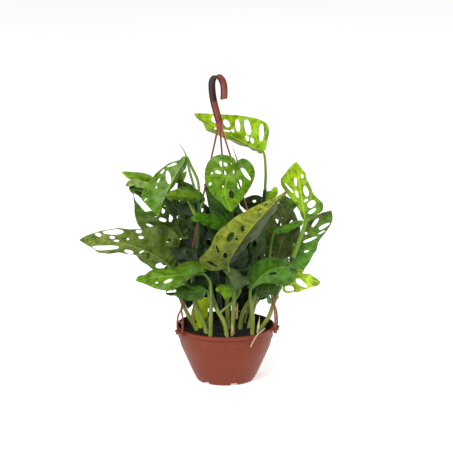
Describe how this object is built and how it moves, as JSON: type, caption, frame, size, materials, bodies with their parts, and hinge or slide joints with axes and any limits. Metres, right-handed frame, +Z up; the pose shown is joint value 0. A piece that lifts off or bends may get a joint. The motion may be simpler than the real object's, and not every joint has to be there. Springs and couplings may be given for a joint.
{
  "type": "potted monstera acuminata",
  "caption": "Leafy aroid house plant with long holes in its leaves, growing from soil in a round hanging pot with a hook.",
  "frame": {"origin": "the point under the crown of the hook, where the pot hangs", "axes": "+Z up, -Y towards the front view, +X to its right"},
  "size_m": [0.3852, 0.2906, 0.4761],
  "materials": {
    "pot_plastic": "moulded polypropylene, satin, terracotta brown",
    "hanger_plastic": "moulded polypropylene, smooth, red brown",
    "compost": "damp dark potting compost",
    "label_plastic": "thin sheet plastic, lime yellow, bare",
    "leaf": "waxy green leaf, paler underneath",
    "young_leaf": "waxy lime-green young leaf"
  },
  "bodies": {
    "root": {"pot": "pot_plastic", "hanger": "hanger_plastic", "soil": "compost", "label": "label_plastic", "shoot_left_low": "leaf", "shoot_left_front": "leaf", "shoot_left_high": "leaf", "shoot_left_back": "leaf", "shoot_top": "young_leaf", "shoot_heart": "leaf", "shoot_olive": "leaf", "shoot_low_centre": "leaf", "shoot_right_high": "leaf", "shoot_right_low": "young_leaf", "shoot_front_right": "leaf", "shoot_right_back": "leaf", "shoot_rear_left": "leaf", "shoot_rear_middle": "leaf", "shoot_rear_right": "leaf"}
  },
  "joints": []
}
